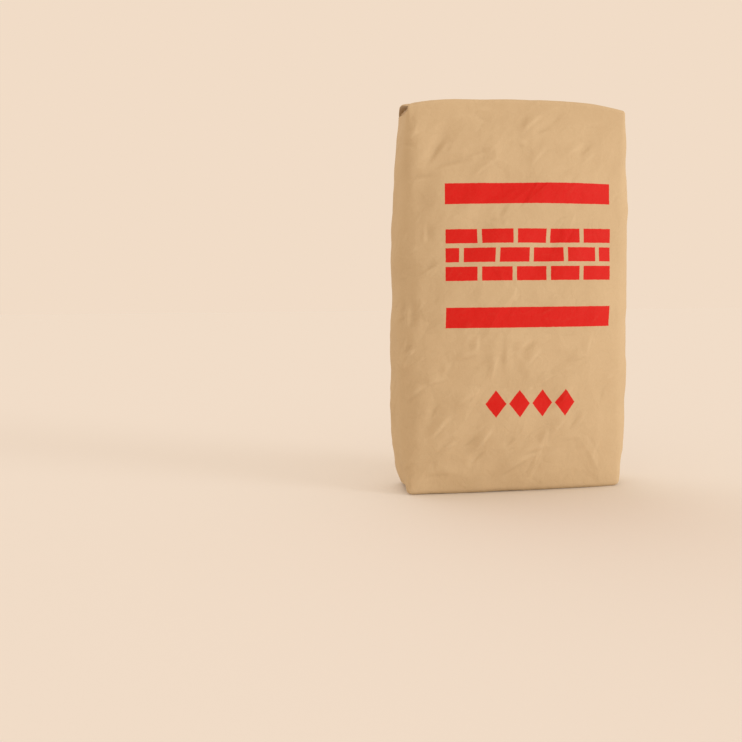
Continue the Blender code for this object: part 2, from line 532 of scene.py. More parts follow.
@dataclass(frozen=True)
class Crumples:
    """How the paper is crumpled: facets, slow dents and straight folds.

    Attributes:
        cell: The size of the largest facets.
        stray: How far a facet's corner strays, as a share of the cell.
        facets: The height of each finer round of facets.
        rising_share: How many of the facets' diagonals and the dents' crests rise to the right.
        dent: The height of the slow dents.
        waves: How many waves make up the dents.
        wavelengths: The shortest and the longest of them.
        families: The kinds of folds that are scattered over the panels.
        scattered: Between which heights they lie.
        scattered_bow: How far they bow sideways, as a share of their length.
        seen_rise: How far a fold of strength 1 stands out on the front.
        seen_length: From which length on a seen fold has its full height.
        seen_run: How much longer it is made than it is seen, since it thins out at its ends.
        seen_reach: How wide it is, as a share of its length.
        seen_width: What is added to that.
        seen_crisp: How sharp its crest is.
        seen_bow: How far it bows sideways, as a share of its length.
        calm_reach: How far from a pasted end the paper is calmer.
        calm_share: How much of the crumple is left at the end itself.
        calmer_right: How much less the right edge is crumpled than the middle.
        livelier_left: How much more the front is crumpled near its left edge.
        calmer_behind: How much less the side panels are crumpled towards the back.
        seed: Where the random numbers start.
    """

    cell: float = 0.044
    stray: float = 0.34
    facets: tuple[float, ...] = (0.0009, 0.00074, 0.00022, 0.00006)
    rising_share: float = 0.95
    dent: float = 0.0014
    waves: int = 36
    wavelengths: tuple[float, float] = (0.040, 0.13)
    families: tuple[FoldFamily, ...] = (
        FoldFamily(130, (0.030, 0.070), (0.009, 0.016), (0.0008, 0.0020), 0.25, (48, 14), 0.25),
        FoldFamily(220, (0.013, 0.038), (0.004, 0.008), (0.0003, 0.0009), 0.45, (50, 18), 0.7),
    )
    scattered: tuple[float, float] = (0.02, 0.59)
    scattered_bow: float = 0.04
    seen_rise: float = 0.0026
    seen_length: float = 0.05
    seen_run: float = 1.3
    seen_reach: float = 0.16
    seen_width: float = 0.007
    seen_crisp: float = 0.3
    seen_bow: float = 0.03
    calm_reach: float = 0.035
    calm_share: float = 0.3
    calmer_right: float = 0.5
    livelier_left: float = 0.2
    calmer_behind: float = 0.5
    seed: int = 23

    def box(self, form: SackForm, rounds: int) -> bmesh.types.BMesh:
        """Cuts the creased box into random facets, and gives each corner its height.

        Each round halves the facets and adds a smaller height, so that long creases stay
        straight and carry finer ones.

        Args:
            form: The sack's sizes.
            rounds: How many rounds.

        Returns:
            The box on the floor, with the heights in the float layer "height".
        """
        rng = random.Random(self.seed)
        sizes = (form.width, form.depth, form.height)
        bm = bmesh.new()
        bmesh.ops.create_cube(bm, size=1)
        bmesh.ops.scale(bm, vec=sizes, verts=bm.verts)
        for axis, size in zip(Axis, sizes):
            self.slice(bm, axis.value, size)
        for vert in bm.verts:
            for axis, size in zip(Axis, sizes):
                if abs(vert.co[axis.value]) < size / 2 - MM:
                    vert.co[axis.value] += rng.uniform(-self.stray, self.stray) * self.cell
        bmesh.ops.translate(bm, vec=(0, 0, form.height / 2), verts=bm.verts)
        for face in bm.faces[:]:
            self.split(face, rng)
        layer = bm.verts.layers.float.new("height")
        fresh = bm.verts[:]
        for height in self.facets[:rounds]:
            for vert in fresh:
                vert[layer] += rng.gauss(0, height)
            made = bmesh.ops.subdivide_edges(bm, edges=bm.edges[:], cuts=1, use_grid_fill=True)
            fresh = [part for part in made["geom_inner"] if isinstance(part, bmesh.types.BMVert)]
        return bm

    def slice(self, bm: bmesh.types.BMesh, axis: int, size: float) -> None:
        """Cuts the box square to one axis into even slices.

        Args:
            bm: The box.
            axis: The axis.
            size: The box's size along it.
        """
        along = [
            edge
            for edge in bm.edges
            if abs(edge.verts[0].co[axis] - edge.verts[1].co[axis]) > size / 2
        ]
        cuts = round(size / self.cell) - 1
        bmesh.ops.subdivide_edges(bm, edges=along, cuts=cuts, use_grid_fill=True)

    def split(self, face: bmesh.types.BMFace, rng: random.Random) -> None:
        """Splits a four-cornered cell, more often along the rising diagonal.

        Args:
            face: The cell.
            rng: Where the choice comes from.
        """
        across = 1 if abs(face.normal.x) > 0.5 else 0
        upward = 1 if abs(face.normal.z) > 0.5 else 2
        way = 1 if rng.random() < self.rising_share else -1
        middle = face.calc_center_median()
        corners = list(face.verts)
        scores = [
            (vert.co[across] - middle[across]) * way + vert.co[upward] - middle[upward]
            for vert in corners
        ]
        highest = scores.index(max(scores))
        bmesh.utils.face_split(face, corners[highest], corners[highest - 2])

    def calm(self, form: SackForm, creased: np.ndarray) -> np.ndarray:
        """How freely the paper crumples at each place.

        Args:
            form: The sack's sizes.
            creased: Places on the creased box.

        Returns:
            A share for each place.
        """
        x, y, z = creased.T
        free = np.clip(form.to_end(z) / self.calm_reach, 0, 1)
        rightward = 1 - self.calmer_right * eased(x / (form.width / 2))
        on_side = eased(1 - (form.width / 2 - np.abs(x)) / (form.depth / 4))
        behind = 1 - self.calmer_behind * on_side * eased(y / (form.depth / 2) + 0.5)
        leftward = 1 + self.livelier_left * eased(-4 * x / form.width - 1) * (1 - on_side)
        return (self.calm_share + (1 - self.calm_share) * free) * rightward * behind * leftward

    def dents(self, points: np.ndarray) -> np.ndarray:
        """Slow dents and swells of the whole surface.

        Args:
            points: Places on the filled sack.

        Returns:
            The lift of each.
        """
        rng = np.random.default_rng(self.seed)
        total = np.zeros(len(points))
        for _ in range(self.waves):
            direction = rng.normal(size=3)
            direction /= np.linalg.norm(direction)
            if rng.random() < self.rising_share:
                direction[0] = -np.abs(direction[0]) * np.sign(direction[2])
            turns = 2 * math.pi / rng.uniform(*self.wavelengths)
            total += np.cos(points @ direction * turns + rng.uniform(0, 2 * math.pi))
        return self.dent * total / math.sqrt(self.waves / 2)

    def folds(self, form: SackForm) -> list[Fold]:
        """The folds in the paper: those seen on the front, and scattered smaller ones.

        Args:
            form: The sack's sizes.

        Returns:
            All of them.
        """
        found = self.front_folds(form)
        rng = np.random.default_rng(self.seed + 1)
        widths = np.array([form.width, form.width, form.depth, form.depth])
        for family in self.families:
            shares = widths * (family.on_front, 1, 1, 1)
            for _ in range(family.count):
                chosen = rng.choice(4, p=shares / shares.sum())
                across = rng.uniform(-0.5, 0.5) * widths[chosen]
                height = rng.uniform(*self.scattered)
                place, normal = form.on_panel(list(Panel)[chosen], across, height)
                found.append(
                    Fold(
                        place,
                        self.direction(normal, math.radians(rng.normal(*family.climb))),
                        normal,
                        rng.uniform(*family.lengths),
                        rng.choice([-1, 1]) * rng.uniform(*family.rises),
                        rng.uniform(*family.reaches),
                        family.crisp,
                        rng.normal(0, self.scattered_bow),
                    )
                )
        return found

    @staticmethod
    def direction(normal: np.ndarray, angle: float) -> np.ndarray:
        """The way in a panel's plane that climbs to the right at an angle.

        Args:
            normal: The way the panel faces.
            angle: The climb.

        Returns:
            The way, of length 1.
        """
        level = np.cross([0, 0, 1.0], normal)
        level /= np.linalg.norm(level)
        return math.cos(angle) * level + math.sin(angle) * np.cross(normal, level)

    def front_folds(self, form: SackForm) -> list[Fold]:
        """The folds that can be told apart on the front.

        Args:
            form: The sack's sizes.

        Returns:
            Them.
        """
        found = []
        for *ends, rise in FRONT_FOLDS:
            places = []
            for x, z in (np.array(ends) / 1000).reshape(2, 2):
                wider = form.side_bulge * form.fullness(np.array(z)) * form.side_ease
                shrink = form.width / (form.width + 2 * wider)
                places.append(form.on_panel(Panel.FRONT, x * shrink, z))
            (start, facing), (end, _) = places
            run = end - start
            length = float(np.linalg.norm(run))
            height = self.seen_rise * rise * min(math.sqrt(length / self.seen_length), 1)
            found.append(
                Fold(
                    (start + end) / 2,
                    run / length,
                    facing,
                    length * self.seen_run,
                    height,
                    length * self.seen_reach + self.seen_width,
                    self.seen_crisp,
                    self.seen_bow,
                )
            )
        return found


@dataclass(frozen=True)
class EndFlaps:
    """How an end is folded and pasted: its short sides first, then the back flap over the middle,
    then the front flap over that.

    Attributes:
        ply: How far each flap lifts the surface.
        overlap: Where the front flap's free edge lies, behind the end's middle line.
        step: How wide the drop at a free edge is.
        rim_ease: How far from the rim a flap reaches its full lift.
        loose: How far the front flap's free edge stands off at most.
        loose_reach: How far behind the edge it is pasted down again.
        ripple: How much less it stands off in places, as a share.
        ripple_rate: How fast that varies along it, in radians per metre.
    """

    ply: float = 0.0006
    overlap: float = 0.012
    step: float = 0.0006
    rim_ease: float = 0.006
    loose: float = 0.0007
    loose_reach: float = 0.007
    ripple: float = 0.3
    ripple_rate: float = 31.0

    def edges(self, form: SackForm) -> list[tuple[Vector, Vector]]:
        """The lines of the free edges: the front flap's, then its two ends and the back's.

        Args:
            form: The sack's sizes.

        Returns:
            A point of each and the way square to it.
        """
        lines = [(Vector((0, self.overlap, 0)), Vector((0, 1, 0)))]
        for x in (-1, 1):
            for y in (-1, 1):
                corner = Vector((x * form.width / 2, y * form.depth / 2, 0))
                lines.append((corner, Vector((x, -y, 0)).normalized()))
        return lines

    def cut(self, bm: bmesh.types.BMesh, form: SackForm) -> None:
        """Cuts both ends along the free edges.

        Args:
            bm: The creased box.
            form: The sack's sizes.
        """
        for place, normal in self.edges(form):
            for offset in (0, self.step):
                ends = [face for face in bm.faces if abs(face.normal.z) > 0.9]
                cut_line(bm, ends, place - normal * offset, normal)

    def lift(self, form: SackForm, creased: np.ndarray) -> np.ndarray:
        """How far the flaps stand out.

        Args:
            form: The sack's sizes.
            creased: Places on the creased box.

        Returns:
            The lift of each.
        """
        x, y, z = creased.T
        half_width, half_depth = form.width / 2, form.depth / 2
        behind = (self.overlap - y) / self.step
        front_end = (half_width - half_depth - y - np.abs(x)) / math.sqrt(2) / self.step
        back_end = (half_width - half_depth + y - np.abs(x)) / math.sqrt(2) / self.step
        front = np.clip(np.minimum(behind, front_end), 0, 1)
        back = np.clip(back_end, 0, 1)
        from_rim = np.minimum(half_depth - np.abs(y), half_width - np.abs(x))
        rim_share = np.clip(from_rim / self.rim_ease, 0, 1)
        wave = 1 - self.ripple + self.ripple * np.sin(x * self.ripple_rate + 1)
        loose = self.loose * wave * np.exp(-np.clip(behind, 0, None) * self.step / self.loose_reach)
        layers = self.ply * np.maximum(front, back) + (self.ply + loose) * front
        return np.where(form.to_end(z) < MM / 10, layers * rim_share, 0)


@dataclass(frozen=True)
class BackSeam:
    """The glued overlap down the back.

    Attributes:
        place: Where its free edge runs.
        width: How wide the overlap is.
        ply: How far it stands out.
        fade: How far from an end it begins.
    """

    place: float = 0.034
    width: float = 0.036
    ply: float = 0.0007
    fade: float = 0.008

    def cut(self, bm: bmesh.types.BMesh) -> None:
        """Cuts the back along the free edge.

        Args:
            bm: The creased box.
        """
        for x in (self.place, self.place + self.ply):
            back = [face for face in bm.faces if face.normal.y > 0.9]
            cut_line(bm, back, Vector((x, 0, 0)), Vector((1, 0, 0)))

    def lift(self, form: SackForm, creased: np.ndarray) -> np.ndarray:
        """How far the overlap stands out: a crisp free edge, and a soft return.

        Args:
            form: The sack's sizes.
            creased: Places on the creased box.

        Returns:
            The lift of each.
        """
        inside = self.place + self.ply - creased[:, 0]
        rise = np.clip(inside / self.ply, 0, 1)
        sink = np.clip(inside / self.width - 1, 0, 1)
        fade = np.clip(form.to_end(creased[:, 2]) / self.fade, 0, 1)
        on_back = creased[:, 1] > form.depth / 2 - MM
        return on_back * fade * self.ply * rise * (1 - sink)


@dataclass(frozen=True)
class SideTuck:
    """How the folds of the bottom draw the side panels in, just above the floor.

    The tuck is highest behind the front corner, and runs out towards the back. On the left the
    front corner itself stands out, and the panel behind it leans in above the tuck.

    Attributes:
        inwards: How far each side panel is drawn in at the floor.
        height: How high up it is back in its place, at most.
        corner: How far behind the front corner that is.
        back_share: How much of that height is left at the back corner.
        flare: How far the left front corner stands out.
        lean: How far the left panel leans in at the floor, at its back end.
        lean_height: How high up it is upright again.
        lean_power: How hollow it leans.
        fade: Over how many times its size the tuck fades inwards and the flare upwards.
        least: The lowest share of the height, so that nothing is divided by zero.
    """

    inwards: float = 0.009
    height: float = 0.014
    corner: float = 0.018
    back_share: float = 0.3
    flare: float = 0.0045
    lean: float = 0.007
    lean_height: float = 0.032
    lean_power: float = 1.3
    fade: float = 3.0
    least: float = 0.05

    def shift(self, form: SackForm, creased: np.ndarray) -> np.ndarray:
        """How far each place moves along X.

        Args:
            form: The sack's sizes.
            creased: Places on the creased box.

        Returns:
            The way of each.
        """
        x, y, z = creased.T
        behind = form.depth / 2 + y
        past = eased(behind / self.corner)
        share = past * (1 - (1 - self.back_share) * np.clip(behind / form.depth, 0, 1) ** 2)
        low = 1 - np.clip(z / (self.height * np.maximum(share, self.least)), 0, 1) ** 3
        beside = np.clip(1 - (form.width / 2 - np.abs(x)) / (self.fade * self.inwards), 0, 1)
        outwards = self.flare * (1 - past) * (1 - eased(z / (self.fade * self.height)))
        leaning = self.lean * np.clip(behind / form.depth, 0, 1)
        leaning *= np.clip(1 - z / self.lean_height, 0, 1) ** self.lean_power
        outwards = (x < 0) * (outwards - leaning)
        return np.sign(x) * beside * (outwards - self.inwards * np.sqrt(share) * low)


@dataclass(frozen=True)
class ValveMouth:
    """The valve along the left rim of the top, which slopes down into the cement.

    At its front end it gapes below the rim. Towards the back its upper lip stands up more and
    more, until it falls to the back corner, while its lower one comes up to the rim.

    Attributes:
        slope: How steeply the sleeve goes down.
        half_length: Half the mouth's length along the rim.
        flat_height: The sleeve's thickness where the cement presses it flat.
        taper: How far in the mouth closes to that.
        depth: How far the sleeve goes in.
        lip_rise: How far the upper lip stands up at most.
        lip_drop: How far below the rim the lower lip is at the front end.
        lip_wall: How thick the upper lip's paper is.
        lip_reach: How far behind the rim it is flat again.
        lip_push: How far the lower lip stands out.
        lip_power: How soon along the rim the upper lip stands up.
        fall_from: From which share of the rim it falls again.
        fall_over: Over which share it does.
        close_power: How suddenly the mouth closes inwards.
        end_power: How square the mouth's two ends are; 0 is square.
        lip_spread: How far along the rim the upper lip reaches, as a multiple of half_length.
        arch_depth: How far down the side the upper lip's arch is felt.
        push_reach: How far from its edge the lower lip stands out.
        sides: How many sides the sleeve's tube has.
        ring: How far apart its rings are.
        overrun: How far the cutter stands out of the sack.
        gap: The cutter's clearance round the sleeve.
    """

    slope: float = math.radians(32)
    half_length: float = 0.0506
    flat_height: float = 0.0034
    taper: float = 0.034
    depth: float = 0.112
    lip_rise: float = 0.0175
    lip_drop: float = 0.011
    lip_wall: float = 0.0015
    lip_reach: float = 0.028
    lip_push: float = 0.0015
    lip_power: float = 1.8
    fall_from: float = 0.80
    fall_over: float = 0.36
    close_power: float = 1.5
    end_power: float = 0.08
    lip_spread: float = 1.05
    arch_depth: float = 0.004
    push_reach: float = 0.008
    sides: int = 72
    ring: float = 0.003
    overrun: float = 0.02
    gap: float = 0.0003

    def frame(self, form: SackForm) -> Matrix:
        """The valve's own frame, whose +Z runs from the rim down into the sack.

        Args:
            form: The sack's sizes.

        Returns:
            The frame.
        """
        turn = Matrix.Rotation(math.pi / 2 + self.slope, 4, "Y")
        rim = form.height + float(form.dome(-form.width / 2, 0, form.height))
        return Matrix.Translation((-form.width / 2, 0, rim - MM / 2)) @ turn

    def along(self, y: np.ndarray | float) -> np.ndarray | float:
        """How far along the rim each place is: 0 at the mouth's front end, 1 at its back one."""
        return (y + self.half_length) / (2 * self.half_length)

    def upper_lip(self, y: np.ndarray | float) -> np.ndarray:
        """How far the upper lip stands above the rim.

        Args:
            y: Places along the rim, from its middle.

        Returns:
            The height of each.
        """
        share = self.along(y)
        rise = 1 - (1 - np.clip(share, 0, 1)) ** self.lip_power
        return self.lip_rise * rise * (1 - eased((share - self.fall_from) / self.fall_over))

    def lower_lip(self, y: np.ndarray | float) -> np.ndarray:
        """How far the lower lip lies below the rim at places along it."""
        return self.lip_drop * (1 - np.clip(self.along(y), 0, 1))

    def section(self, y: float, inwards: float) -> tuple[float, float]:
        """Where the sleeve's upper and lower paper run, square to its slope.

        Args:
            y: The place along the rim.
            inwards: The way from the rim.

        Returns:
            How far up the upper one is and how far down the lower one is.
        """
        blunt = max(1 - (y / self.half_length) ** 2, 0) ** self.end_power
        share = math.exp(-((max(inwards, 0) / self.taper) ** self.close_power))
        raised = max(float(self.upper_lip(y)) - self.lip_wall, 0) * math.cos(self.slope)
        lowered = float(self.lower_lip(y)) * math.cos(self.slope)
        upper = raised * share + self.flat_height * (1 - share)
        return upper * blunt, lowered * share * blunt

    def tube(
        self, form: SackForm, start: float, end: float, spare: float, capped: bool
    ) -> bmesh.types.BMesh:
        """A tube with the mouth's section, which closes from the mouth inwards.

        Args:
            form: The sack's sizes.
            start: Where it begins, from the rim inwards.
            end: Where it ends.
            spare: How much wider than the mouth it is on every side.
            capped: Whether its ends are closed.

        Returns:
            The tube, in its place.
        """
        bm = bmesh.new()
        bmesh.ops.create_cone(
            bm, cap_ends=capped, segments=self.sides, radius1=1, radius2=1, depth=end - start
        )
        bmesh.ops.translate(bm, vec=(0, 0, (start + end) / 2), verts=bm.verts)
        long_edges = [
            edge for edge in bm.edges if abs(edge.verts[0].co.z - edge.verts[1].co.z) > MM
        ]
        cuts = round((end - start) / self.ring)
        bmesh.ops.subdivide_edges(bm, edges=long_edges, cuts=cuts, use_grid_fill=True)
        for vert in bm.verts:
            upper, lower = self.section(vert.co.y * self.half_length, vert.co.z)
            if abs(vert.co.x) < MM:
                vert.co.x = (lower - upper) / 2
            else:
                vert.co.x = -upper - spare if vert.co.x < 0 else lower + spare
            vert.co.y *= self.half_length + spare
        bm.transform(self.frame(form))
        for vert in bm.verts:
            vert.co.x += self.slack(form, vert.co.y)
        return bm

    def cutter(self, form: SackForm) -> bmesh.types.BMesh:
        """The closed solid that clears the mouth and the sleeve's bed."""
        return self.tube(form, -self.overrun, self.depth + MM, self.gap, True)

    @staticmethod
    def slack(form: SackForm, y: float) -> float:
        """How far inwards the rim lies at a place along it, where its edge is slack."""
        return float(form.slack(-form.width / 2, y, form.height))

    def shape(self, form: SackForm, creased: np.ndarray) -> np.ndarray:
        """Arches the upper lip and pushes the lower one out.

        Args:
            form: The sack's sizes.
            creased: Places on the creased box.

        Returns:
            How far each place moves.
        """
        x, y, z = creased.T
        behind, below = x + form.width / 2, form.height - z
        along = np.clip(1 - (y / (self.half_length * self.lip_spread)) ** 2, 0, 1)
        arch = self.upper_lip(y) * np.exp(-((behind / self.lip_reach) ** 2))
        arch *= np.exp(-((below / self.arch_depth) ** 2))
        off_lip = np.hypot(behind, below - self.lower_lip(y))
        push = self.lip_push * along * np.exp(-((off_lip / self.push_reach) ** 2))
        return np.column_stack([-push, np.zeros(len(x)), arch])


@dataclass(frozen=True)
class SackSkin:
    """The crumpled surface of the filled sack, which the paper and the cement both follow.

    Attributes:
        form: The smooth form.
        crumples: How it is crumpled.
        flaps: The flaps of its ends.
        seam: The seam down its back.
        tuck: How it is drawn in above the floor.
        mouth: The valve.
        mouth_reach: How far from the valve's rim the cells are halved.
        mouth_spare: How far beyond the mouth's ends they are.
        bottom_recess: How far the middle of the bottom is lifted off the floor.
        recess_rim: How wide the rim is that stands on the floor.
        recess_reach: How far in the bottom is lifted all the way.
        foot_spare: How much narrower the inner surfaces are at the floor, clear of the tuck.
        foot_height: How high up they have their full width.
    """

    form: SackForm
    crumples: Crumples
    flaps: EndFlaps
    seam: BackSeam
    tuck: SideTuck
    mouth: ValveMouth
    mouth_reach: float = 0.024
    mouth_spare: float = 0.004
    bottom_recess: float = 0.0026
    recess_rim: float = 0.003
    recess_reach: float = 0.012
    foot_spare: float = 0.025
    foot_height: float = 0.05

    def surface(self, rounds: int, inset: float = 0.0) -> bmesh.types.BMesh:
        """Builds the surface, or a plainer one inside it.

        Args:
            rounds: How many rounds of facets it has.
            inset: How far inside the paper's outside it lies; 0 is the outside itself.

        Returns:
            The closed surface.
        """
        bm = self.crumples.box(self.form, rounds)
        if not inset:
            self.refine_mouth(bm)
            self.seam.cut(bm)
            self.flaps.cut(bm, self.form)
        mesh = bpy.data.meshes.new("surface")
        bm.to_mesh(mesh)
        heights = np.empty(len(mesh.vertices), np.float32)
        mesh.attributes["height"].data.foreach_get("value", heights)
        creased = mesh_points(mesh)
        filled = self.form.fill_out(self.form.round_off(creased))
        move_points(mesh, filled)
        normals = mesh_normals(mesh)

        lift = heights + self.crumples.dents(filled)
        for fold in self.crumples.folds(self.form):
            rows, height = fold.lift(filled)
            lift[rows] += height
        lift *= self.crumples.calm(self.form, creased)
        lift += self.flaps.lift(self.form, creased) + self.seam.lift(self.form, creased)
        placed = filled + normals * (lift - inset)[:, None]
        placed += self.mouth.shape(self.form, creased)
        placed[:, 0] += self.tuck.shift(self.form, creased)
        placed[:, 2] += self.recess(creased)
        placed[:, 2] = np.maximum(placed[:, 2], 0)
        if inset:
            placed[:, 0] *= 1 - self.foot_spare * (1 - eased(creased[:, 2] / self.foot_height))
        for vert, place in zip(bm.verts, placed):
            vert.co = place
        bm.verts.layers.float.remove(bm.verts.layers.float["height"])
        bpy.data.meshes.remove(mesh)
        return bm

    def refine_mouth(self, bm: bmesh.types.BMesh) -> None:
        """Halves the cells round the valve's mouth.

        Args:
            bm: The creased box.
        """
        near = []
        half_length = self.mouth.half_length + self.mouth_spare
        for edge in bm.edges:
            middle = (edge.verts[0].co + edge.verts[1].co) / 2
            away = math.hypot(middle.x + self.form.width / 2, middle.z - self.form.height)
            if away < self.mouth_reach and abs(middle.y) < half_length:
                near.append(edge)
        bmesh.ops.subdivide_edges(bm, edges=near, cuts=1, use_grid_fill=True)
        bmesh.ops.triangulate(bm, faces=[face for face in bm.faces if len(face.verts) > 3])

    def recess(self, creased: np.ndarray) -> np.ndarray:
        """How far the middle of the bottom is lifted off the floor, where its flaps lie.

        Args:
            creased: Places on the creased box.

        Returns:
            The lift of each.
        """
        in_x = self.form.width / 2 - np.abs(creased[:, 0])
        in_y = self.form.depth / 2 - np.abs(creased[:, 1])
        share = np.clip((np.minimum(in_x, in_y) - self.recess_rim) / self.recess_reach, 0, 1)
        return self.bottom_recess * share * (creased[:, 2] < MM / 10)


def mark_ridges(mesh: bpy.types.Mesh, scale: float) -> None:
    """Writes how sharply the surface turns at each vertex to the attribute "ridge".

    Args:
        mesh: The finished mesh.
        scale: The turn, as height over edge length, that counts as 1.
    """
    ends = np.empty(len(mesh.edges) * 2, np.int32)
    mesh.edges.foreach_get("vertices", ends)
    ends = ends.reshape(-1, 2)
    points, normals = mesh_points(mesh), mesh_normals(mesh)
    run = points[ends[:, 1]] - points[ends[:, 0]]
    length = np.maximum(np.linalg.norm(run, axis=1), MM / 100)
    total = np.zeros(len(points))
    count = np.zeros(len(points))
    for side, way in ((0, -1), (1, 1)):
        fall = way * (run * normals[ends[:, side]]).sum(axis=1) / length
        np.add.at(total, ends[:, side], fall)
        np.add.at(count, ends[:, side], 1)
    ridge = total / np.maximum(count, 1) / scale
    layer = mesh.attributes.new("ridge", "FLOAT", "POINT")
    layer.data.foreach_set("value", np.clip(ridge, -1, 1).astype(np.float32))


@dataclass(frozen=True)
class SackBody:
    """The kraft paper body of the sack, a closed wall that is open only at the valve.

    Attributes:
        skin: The sack's surface.
        finish: Its paper.
        rounds: How many rounds of facets the outside has.
        lining_rounds: How many the lining has.
        lining_inset: How far inside the outside the lining lies.
        sharp: From how many degrees on an edge stays sharp.
        ridge: The turn that marks a full ridge.
    """

    skin: SackSkin
    finish: "KraftPaper"
    rounds: int = 4
    lining_rounds: int = 2
    lining_inset: float = 0.0025
    sharp: float = 62.0
    ridge: float = 0.10

    def build(self) -> bpy.types.Object:
        """Builds the body and gives it its paper.

        Returns:
            The finished piece.
        """
        bm = self.skin.surface(self.rounds)
        lining = self.skin.surface(self.lining_rounds, self.lining_inset)
        bmesh.ops.reverse_faces(lining, faces=lining.faces)
        inner = bpy.data.meshes.new("lining")
        lining.to_mesh(inner)
        lining.free()
        bm.from_mesh(inner)
        bpy.data.meshes.remove(inner)
        piece = new_piece("sack_body", bm, self.finish.material())
        cut_away(piece, self.skin.mouth.cutter(self.skin.form))
        shade(piece, self.sharp)
        mark_ridges(piece.data, self.ridge)
        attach(piece, BODY)
        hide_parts("paper_sack")
        return piece


@dataclass(frozen=True)
class ValveSleeve:
    """The flat paper sleeve that the sack was filled through, open at both ends.

    Attributes:
        skin: The sack's surface.
        finish: The sleeve's paper.
        wall: How thick it is.
        proud: How far it stands out of the rim.
        trim_reach: How far in its rim is still drawn along by the lips.
        behind_lip: How far behind the upper lip its upper paper ends.
        tongue: How far its lower paper stands forward, as a share of how far down it is.
        end_inset: How much further in it ends at the mouth's two ends.
        end_reach: How far from those ends that begins.
        ripples: The waves of its rim: their height, their rate and where they start.
        sharp: From how many degrees on an edge stays sharp.
    """

    skin: SackSkin
    finish: "SleevePaper"
    wall: float = 0.0004
    proud: float = 0.0016
    trim_reach: float = 0.012
    behind_lip: float = 0.002
    tongue: float = 0.3
    end_inset: float = 0.003
    end_reach: float = 0.008
    ripples: tuple[tuple[float, float, float], ...] = ((0.0003, 150.0, 0.0), (0.0002, 330.0, 2.0))
    sharp: float = 40.0

    def build(self) -> bpy.types.Object:
        """Builds the sleeve and gives it its paper.

        Returns:
            The finished piece.
        """
        mouth = self.skin.mouth
        bm = mouth.tube(self.skin.form, -self.proud, mouth.depth, 0, False)
        self.trim(bm, mouth)
        piece = new_piece("valve_sleeve_paper", bm, self.finish.material())
        wall = piece.modifiers.new("wall", "SOLIDIFY")
        wall.thickness = self.wall
        wall.offset = -1
        apply_modifiers(piece)
        shade(piece, self.sharp)
        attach(piece, BODY)
        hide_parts("valve_sleeve")
        return piece

    def trim(self, bm: bmesh.types.BMesh, mouth: ValveMouth) -> None:
        """Lets the outer rim follow the lips of the mouth, and waves it a little.

        Args:
            bm: The sleeve's tube, in its place.
            mouth: The mouth.
        """
        form = self.skin.form
        place = mouth.frame(form)
        inwards = place.to_3x3() @ Vector((0, 0, 1))
        back = place.inverted()
        for vert in bm.verts:
            local = back @ (vert.co - Vector((mouth.slack(form, vert.co.y), 0, 0)))
            if local.z > self.trim_reach:
                continue
            upright = -local.x * math.tan(mouth.slope)
            inset = self.behind_lip * (local.x < MM) - self.tongue * max(local.x, 0)
            to_end = mouth.half_length - abs(local.y)
            inset += self.end_inset * float(eased(1 - to_end / self.end_reach))
            wave = sum(tall * math.sin(local.y * rate + at) for tall, rate, at in self.ripples)
            fade = 1 - (local.z + self.proud) / (self.trim_reach + self.proud)
            vert.co += inwards * (inset - upright + wave) * fade


@dataclass(frozen=True)
class CementCore:
    """The cement inside, with the bed that the sleeve presses into it.

    Attributes:
        skin: The sack's surface.
        finish: The cement's powder.
        rounds: How many rounds of facets it has.
        inset: How far inside the paper's outside it lies.
        sharp: From how many degrees on an edge stays sharp.
    """

    skin: SackSkin
    finish: "CementPowder"
    rounds: int = 2
    inset: float = 0.0029
    sharp: float = 62.0

    def build(self) -> bpy.types.Object:
        """Builds the cement and gives it its powder.

        Returns:
            The finished piece.
        """
        bm = self.skin.surface(self.rounds, self.inset)
        piece = new_piece("cement_core", bm, self.finish.material())
        cut_away(piece, self.skin.mouth.cutter(self.skin.form))
        shade(piece, self.sharp)
        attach(piece, BODY)
        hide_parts("cement_fill")
        return piece


